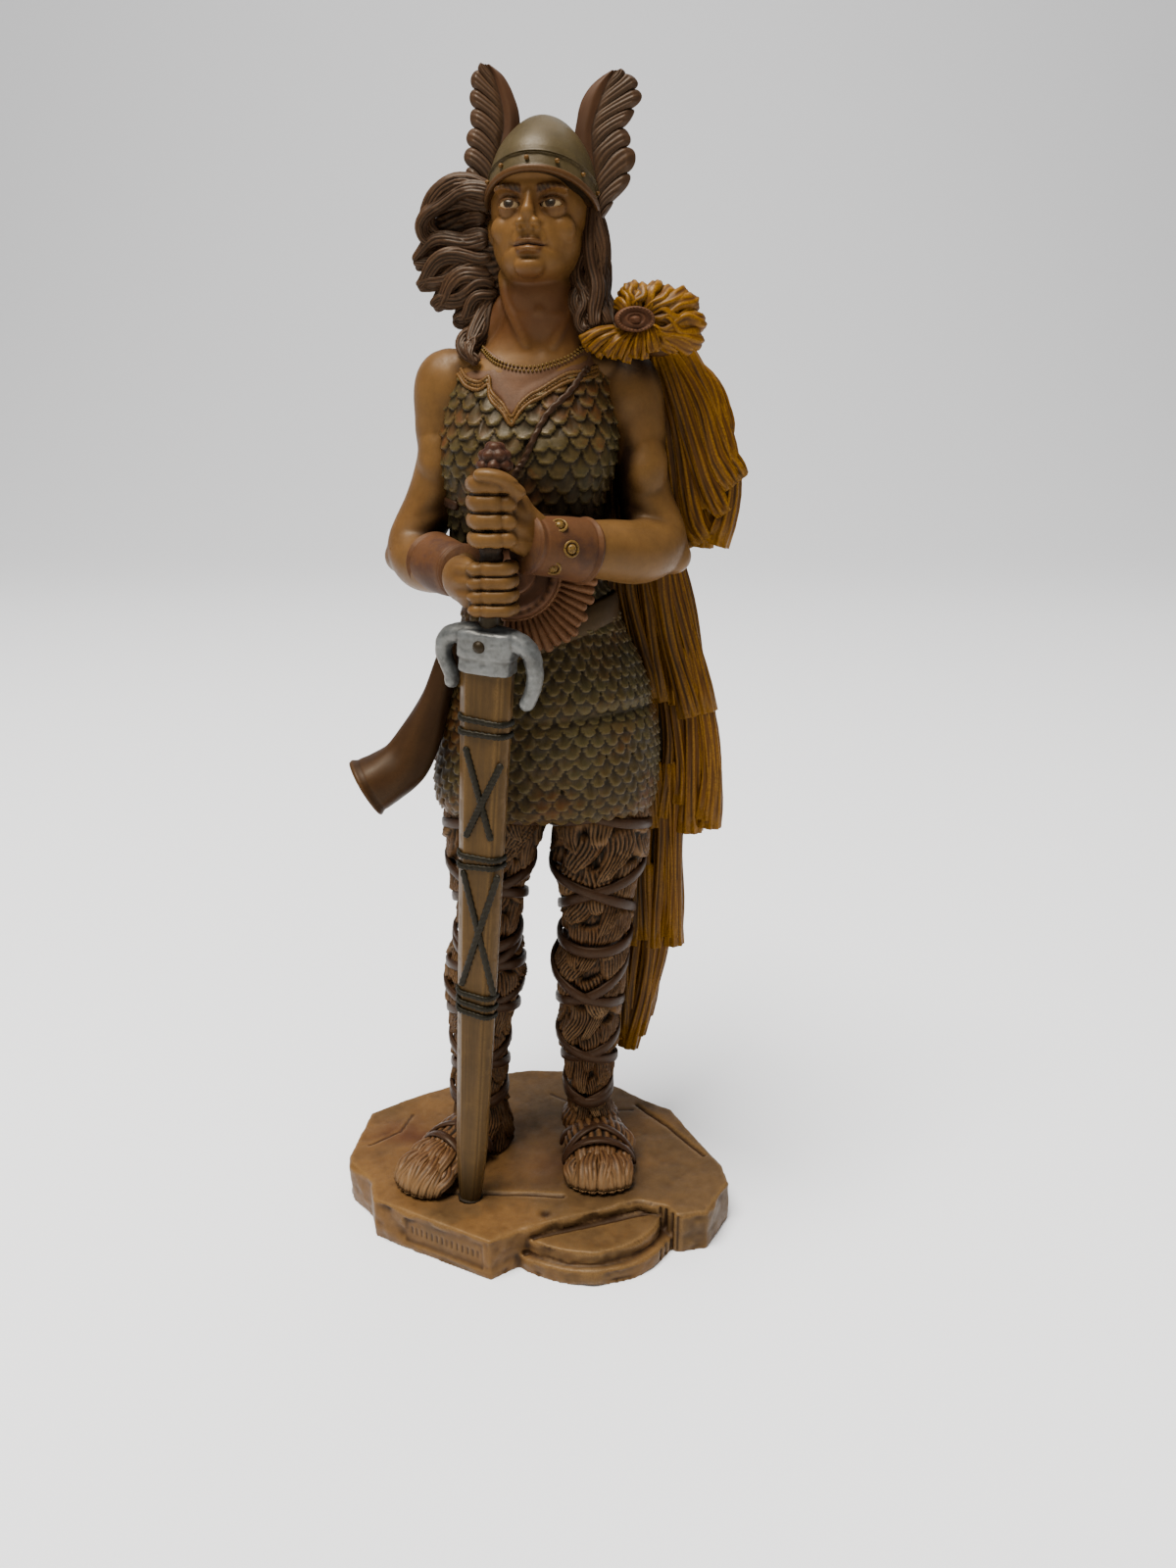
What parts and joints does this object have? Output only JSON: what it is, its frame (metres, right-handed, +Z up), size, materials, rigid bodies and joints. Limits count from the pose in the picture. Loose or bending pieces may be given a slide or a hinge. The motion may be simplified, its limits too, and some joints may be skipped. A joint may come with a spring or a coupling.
{
  "type": "viking warrior statue",
  "caption": "Standing warrior with winged helmet, scale coat, fur leggings and long cape, both hands resting on a sheathed sword, on a flat rock base.",
  "frame": {"origin": "middle of the rock base, on its underside", "axes": "+Z up, the figure looks towards -Y, +X is on the side of the cape"},
  "size_m": [0.0953, 0.075, 0.2546],
  "materials": {
    "figure_paint": "cast resin, painted by hand under a brown wash, matt with a slight sheen on skin and helmet",
    "sword_paint": "cast plastic painted as brown wood with dark straps and a dull silver guard"
  },
  "bodies": {
    "root": {"figure": "figure_paint", "sword": "sword_paint"}
  },
  "joints": []
}
